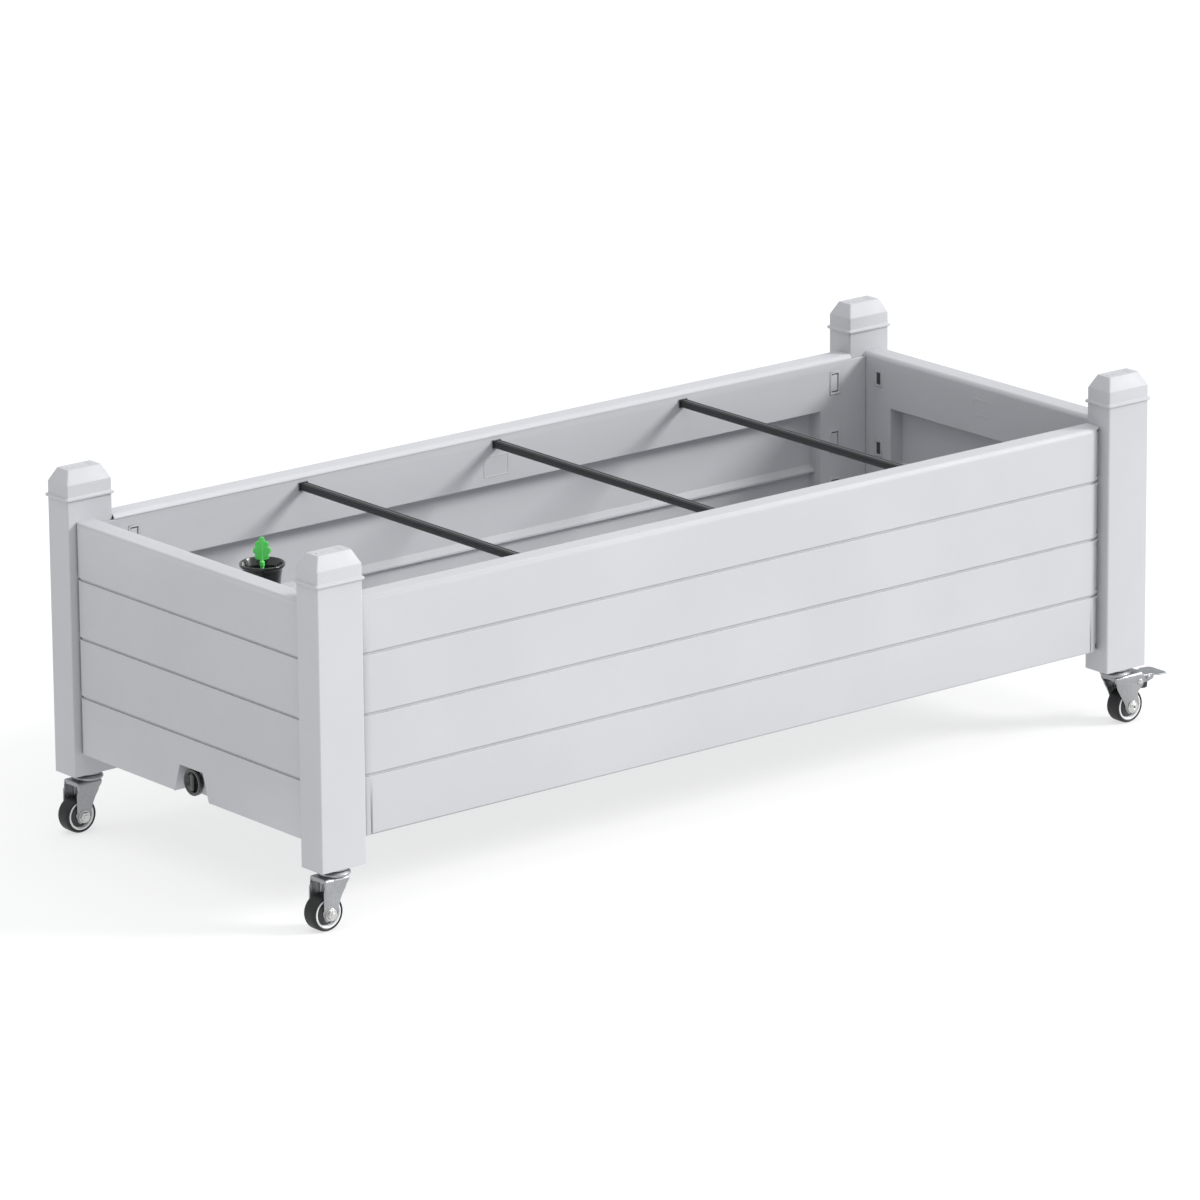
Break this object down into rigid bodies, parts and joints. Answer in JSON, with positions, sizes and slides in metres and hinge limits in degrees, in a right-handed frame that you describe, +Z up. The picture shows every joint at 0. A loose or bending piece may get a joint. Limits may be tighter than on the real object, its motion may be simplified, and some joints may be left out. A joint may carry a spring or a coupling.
{
  "type": "raised planter on legs",
  "caption": "Long raised planter with grooved resin panels between capped corner posts, cross ties, self-watering reservoir, float gauge, drain plug and swivel casters.",
  "frame": {"origin": "on the ground, under the middle of the planter's box", "axes": "+X along the length towards the braked casters, +Y to the back, +Z up"},
  "size_m": [1.5206, 0.606, 0.5146],
  "materials": {
    "pale_resin": "fine satin moulded resin",
    "insert_resin": "satin moulded resin",
    "tray_resin": "satin moulded resin",
    "basket_resin": "satin moulded resin",
    "black_gloss_resin": "glossy moulded resin",
    "float_resin": "satin moulded resin",
    "green_resin": "satin moulded resin",
    "black_bar": "satin powder coat",
    "black_screw": "black oxide",
    "zinc_steel": "satin zinc plate",
    "bright_zinc": "bright zinc plate",
    "hub_resin": "satin moulded resin",
    "tyre_rubber": "matt thermoplastic rubber",
    "black_rubber": "matt rubber"
  },
  "bodies": {
    "planter": {"back_panel": "pale_resin", "caster_back_left_stem": "zinc_steel", "caster_back_right_stem": "zinc_steel", "caster_front_left_stem": "zinc_steel", "caster_front_right_stem": "zinc_steel", "corner_post_back_left": "pale_resin", "corner_post_back_right": "pale_resin", "corner_post_front_left": "pale_resin", "corner_post_front_right": "pale_resin", "fill_tube": "black_gloss_resin", "foot_inserts": "insert_resin", "front_panel": "pale_resin", "left_end_panel": "pale_resin", "platform_legs": "tray_resin", "post_cap_back_left": "pale_resin", "post_cap_back_right": "pale_resin", "post_cap_front_left": "pale_resin", "post_cap_front_right": "pale_resin", "reservoir_tray": "tray_resin", "right_end_panel": "pale_resin", "soil_platform": "tray_resin", "tie_bar_brackets": "black_bar", "tie_bar_left": "black_bar", "tie_bar_middle": "black_bar", "tie_bar_right": "black_bar", "tie_bar_screws": "black_screw", "wick_basket_left": "basket_resin", "wick_basket_right": "basket_resin"},
    "swivel_front_left": {"caster_front_left_race": "zinc_steel", "caster_front_left_fork": "zinc_steel", "caster_front_left_axle": "bright_zinc"},
    "wheel_front_left": {"caster_front_left_hub": "hub_resin", "caster_front_left_tyre": "tyre_rubber"},
    "swivel_front_right": {"caster_front_right_race": "zinc_steel", "caster_front_right_fork": "zinc_steel", "caster_front_right_axle": "bright_zinc", "caster_front_right_brake_pin": "bright_zinc"},
    "wheel_front_right": {"caster_front_right_hub": "hub_resin", "caster_front_right_tyre": "tyre_rubber"},
    "brake_front_right": {"caster_front_right_brake_lever": "zinc_steel", "caster_front_right_brake_pad": "black_rubber"},
    "swivel_back_left": {"caster_back_left_race": "zinc_steel", "caster_back_left_fork": "zinc_steel", "caster_back_left_axle": "bright_zinc"},
    "wheel_back_left": {"caster_back_left_hub": "hub_resin", "caster_back_left_tyre": "tyre_rubber"},
    "swivel_back_right": {"caster_back_right_race": "zinc_steel", "caster_back_right_fork": "zinc_steel", "caster_back_right_axle": "bright_zinc", "caster_back_right_brake_pin": "bright_zinc"},
    "wheel_back_right": {"caster_back_right_hub": "hub_resin", "caster_back_right_tyre": "tyre_rubber"},
    "brake_back_right": {"caster_back_right_brake_lever": "zinc_steel", "caster_back_right_brake_pad": "black_rubber"},
    "water_float": {"float_body": "float_resin", "float_rod": "float_resin", "float_leaf": "green_resin"},
    "drain_plug": {"drain_plug": "black_gloss_resin", "drain_gasket": "black_rubber"}
  },
  "joints": [
    {"name": "caster_swivel_front_left", "type": "hinge", "parent": "planter", "child": "swivel_front_left", "pos_m": [-0.6963, -0.27715, 0.078], "axis": [0, 0, 1], "continuous": true},
    {"name": "wheel_spin_front_left", "type": "hinge", "parent": "swivel_front_left", "child": "wheel_front_left", "pos_m": [-0.7153, -0.27715, 0.025], "axis": [0, 1, 0], "continuous": true},
    {"name": "caster_swivel_front_right", "type": "hinge", "parent": "planter", "child": "swivel_front_right", "pos_m": [0.6963, -0.27715, 0.078], "axis": [0, 0, 1], "continuous": true},
    {"name": "wheel_spin_front_right", "type": "hinge", "parent": "swivel_front_right", "child": "wheel_front_right", "pos_m": [0.7153, -0.27715, 0.025], "axis": [0, 1, 0], "continuous": true},
    {"name": "brake_pedal_front_right", "type": "hinge", "parent": "swivel_front_right", "child": "brake_front_right", "pos_m": [0.7293, -0.27715, 0.06], "axis": [0, 1, 0], "range_deg": [0, 12]},
    {"name": "caster_swivel_back_left", "type": "hinge", "parent": "planter", "child": "swivel_back_left", "pos_m": [-0.6963, 0.27715, 0.078], "axis": [0, 0, 1], "continuous": true},
    {"name": "wheel_spin_back_left", "type": "hinge", "parent": "swivel_back_left", "child": "wheel_back_left", "pos_m": [-0.7153, 0.27715, 0.025], "axis": [0, 1, 0], "continuous": true},
    {"name": "caster_swivel_back_right", "type": "hinge", "parent": "planter", "child": "swivel_back_right", "pos_m": [0.6963, 0.27715, 0.078], "axis": [0, 0, 1], "continuous": true},
    {"name": "wheel_spin_back_right", "type": "hinge", "parent": "swivel_back_right", "child": "wheel_back_right", "pos_m": [0.7153, 0.27715, 0.025], "axis": [0, 1, 0], "continuous": true},
    {"name": "brake_pedal_back_right", "type": "hinge", "parent": "swivel_back_right", "child": "brake_back_right", "pos_m": [0.7293, 0.27715, 0.06], "axis": [0, 1, 0], "range_deg": [0, 12]},
    {"name": "float_rise", "type": "slide", "parent": "planter", "child": "water_float", "axis": [0, 0, 1], "range_m": [0, 0.036]},
    {"name": "drain_plug_pull", "type": "slide", "parent": "planter", "child": "drain_plug", "axis": [-1, 0, 0], "range_m": [0, 0.04]}
  ]
}
